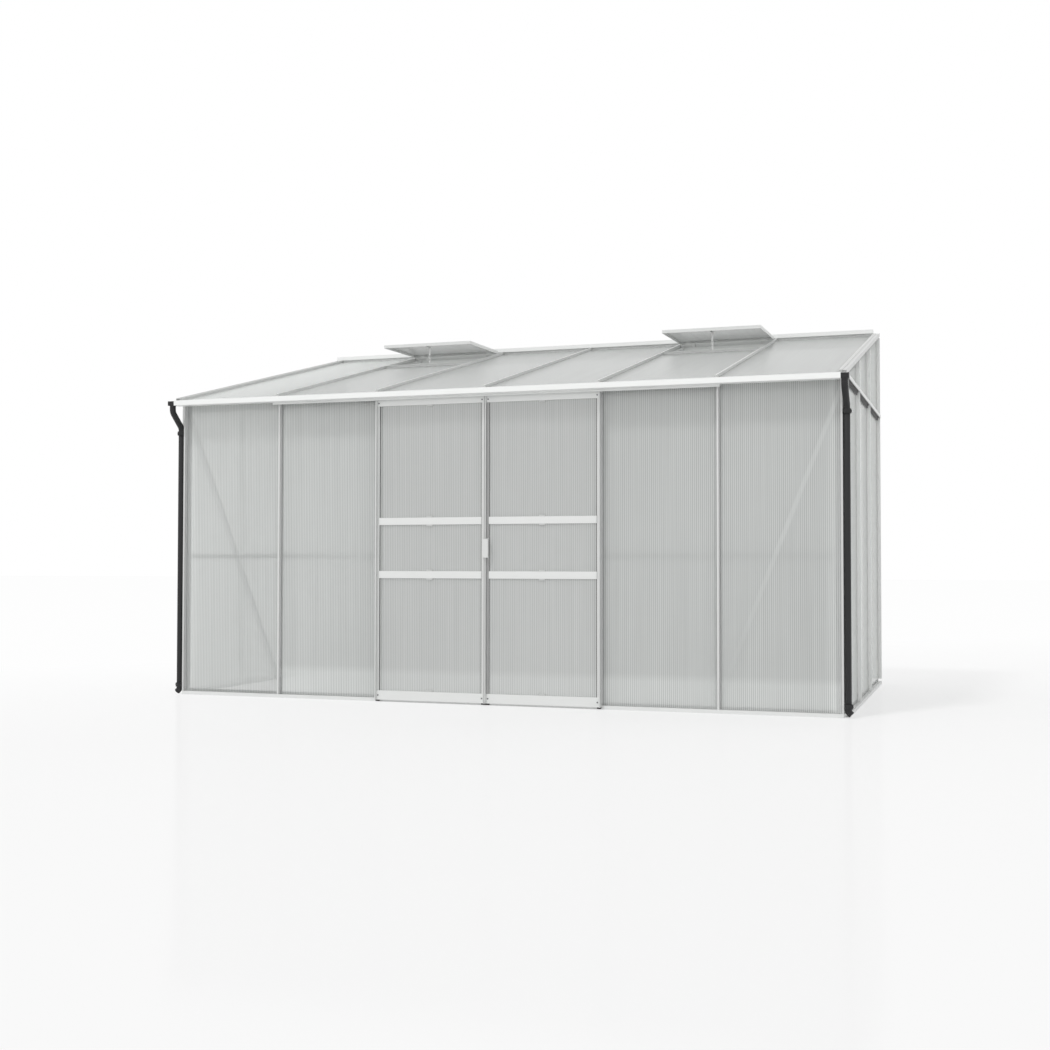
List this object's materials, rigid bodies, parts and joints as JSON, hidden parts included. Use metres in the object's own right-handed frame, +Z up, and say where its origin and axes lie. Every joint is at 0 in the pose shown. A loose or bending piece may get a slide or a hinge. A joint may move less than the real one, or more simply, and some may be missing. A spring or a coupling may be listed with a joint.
{
  "type": "lean to greenhouse",
  "caption": "Lean-to greenhouse for a wall: aluminium frame with twin-wall panes, sliding double doors, roof vents on stays, gutter and downpipes.",
  "frame": {"origin": "on the ground at the centre of the greenhouse's outer box", "axes": "+X along the wall, to the right seen from the front; +Y from the front to the wall; +Z up"},
  "size_m": [3.8562, 2.154, 2.2495],
  "materials": {
    "aluminium_frame": "satin mill finish",
    "polycarbonate": "translucent twin-wall sheet with fine upright ribs",
    "black_plastic": "satin",
    "grey_seal": "matt",
    "nylon": "matt",
    "zinc_steel": "bright zinc plate"
  },
  "bodies": {
    "frame": {"front_sill": "aluminium_frame", "gable_sills": "aluminium_frame", "corner_posts": "aluminium_frame", "wall_posts": "aluminium_frame", "front_glazing_bars": "aluminium_frame", "door_jamb_bars": "aluminium_frame", "gable_glazing_bars": "aluminium_frame", "gable_eaves_rails": "aluminium_frame", "verge_rafters": "aluminium_frame", "roof_glazing_bars": "aluminium_frame", "ridge_wall_plate": "aluminium_frame", "eaves_gutter": "aluminium_frame", "door_top_track": "aluminium_frame", "front_mid_rails": "aluminium_frame", "corner_braces": "aluminium_frame", "vent_curb_bars": "aluminium_frame", "stay_pegs": "zinc_steel", "front_panes": "polycarbonate", "gable_panes": "polycarbonate", "roof_panes": "polycarbonate", "glazing_strips": "grey_seal", "gutter_outlets": "black_plastic", "downpipe_offsets": "black_plastic", "downpipes": "black_plastic", "downpipe_collars": "black_plastic", "downpipe_shoes": "black_plastic", "frame_bolts": "zinc_steel", "door_stops": "nylon"},
    "door_left": {"door_left_stiles": "aluminium_frame", "door_left_top_rail": "aluminium_frame", "door_left_mid_rails": "aluminium_frame", "door_left_bottom_rail": "aluminium_frame", "door_left_panes": "polycarbonate", "door_left_rail_clips": "aluminium_frame", "door_left_roller_brackets": "zinc_steel", "door_left_glides": "nylon", "door_left_screws": "zinc_steel"},
    "door_left_roller_1": {"door_left_roller_1": "nylon"},
    "door_left_roller_2": {"door_left_roller_2": "nylon"},
    "door_right": {"door_right_stiles": "aluminium_frame", "door_right_top_rail": "aluminium_frame", "door_right_mid_rails": "aluminium_frame", "door_right_bottom_rail": "aluminium_frame", "door_right_panes": "polycarbonate", "door_right_rail_clips": "aluminium_frame", "door_right_roller_brackets": "zinc_steel", "door_right_glides": "nylon", "door_right_screws": "zinc_steel", "door_right_handle": "aluminium_frame"},
    "door_right_roller_1": {"door_right_roller_1": "nylon"},
    "door_right_roller_2": {"door_right_roller_2": "nylon"},
    "vent_left": {"vent_left_frame": "aluminium_frame", "vent_left_pane": "polycarbonate", "vent_left_stay_bracket": "aluminium_frame"},
    "vent_left_stay": {"vent_left_stay": "aluminium_frame"},
    "vent_right": {"vent_right_frame": "aluminium_frame", "vent_right_pane": "polycarbonate", "vent_right_stay_bracket": "aluminium_frame"},
    "vent_right_stay": {"vent_right_stay": "aluminium_frame"}
  },
  "joints": [
    {"name": "door_left_slide", "type": "slide", "parent": "frame", "child": "door_left", "axis": [-1, 0, 0], "range_m": [0, 0.6]},
    {"name": "door_left_roller_1_spin", "type": "hinge", "parent": "door_left", "child": "door_left_roller_1", "pos_m": [-0.0915, -1.003, 1.6763], "axis": [0, 1, 0], "continuous": true},
    {"name": "door_left_roller_2_spin", "type": "hinge", "parent": "door_left", "child": "door_left_roller_2", "pos_m": [-0.55175, -1.003, 1.6763], "axis": [0, 1, 0], "continuous": true},
    {"name": "door_right_slide", "type": "slide", "parent": "frame", "child": "door_right", "axis": [1, 0, 0], "range_m": [0, 0.6]},
    {"name": "door_right_roller_1_spin", "type": "hinge", "parent": "door_right", "child": "door_right_roller_1", "pos_m": [0.0915, -1.003, 1.6763], "axis": [0, 1, 0], "continuous": true},
    {"name": "door_right_roller_2_spin", "type": "hinge", "parent": "door_right", "child": "door_right_roller_2", "pos_m": [0.55175, -1.003, 1.6763], "axis": [0, 1, 0], "continuous": true},
    {"name": "vent_left_hinge", "type": "hinge", "parent": "frame", "child": "vent_left", "pos_m": [-0.94575, 0.95805, 2.20336], "axis": [-1, 0, 0], "range_deg": [-12.6, 0]},
    {"name": "vent_left_stay_pivot", "type": "hinge", "parent": "vent_left", "child": "vent_left_stay", "pos_m": [-0.94575, 0.48815, 2.19376], "axis": [1, 0, 0], "range_deg": [0, 92]},
    {"name": "vent_right_hinge", "type": "hinge", "parent": "frame", "child": "vent_right", "pos_m": [0.94575, 0.95805, 2.20336], "axis": [-1, 0, 0], "range_deg": [-12.6, 0]},
    {"name": "vent_right_stay_pivot", "type": "hinge", "parent": "vent_right", "child": "vent_right_stay", "pos_m": [0.94575, 0.48815, 2.19376], "axis": [1, 0, 0], "range_deg": [0, 92]}
  ],
  "couplings": [
    {"joint": "door_left_roller_1_spin", "follows": "door_left_slide", "rad_per_m": -100},
    {"joint": "door_left_roller_2_spin", "follows": "door_left_slide", "rad_per_m": -100},
    {"joint": "door_right_roller_1_spin", "follows": "door_right_slide", "rad_per_m": 100},
    {"joint": "door_right_roller_2_spin", "follows": "door_right_slide", "rad_per_m": 100},
    {"joint": "vent_left_stay_pivot", "follows": "vent_left_hinge", "ratio": -7.2},
    {"joint": "vent_right_stay_pivot", "follows": "vent_right_hinge", "ratio": -7.2}
  ]
}
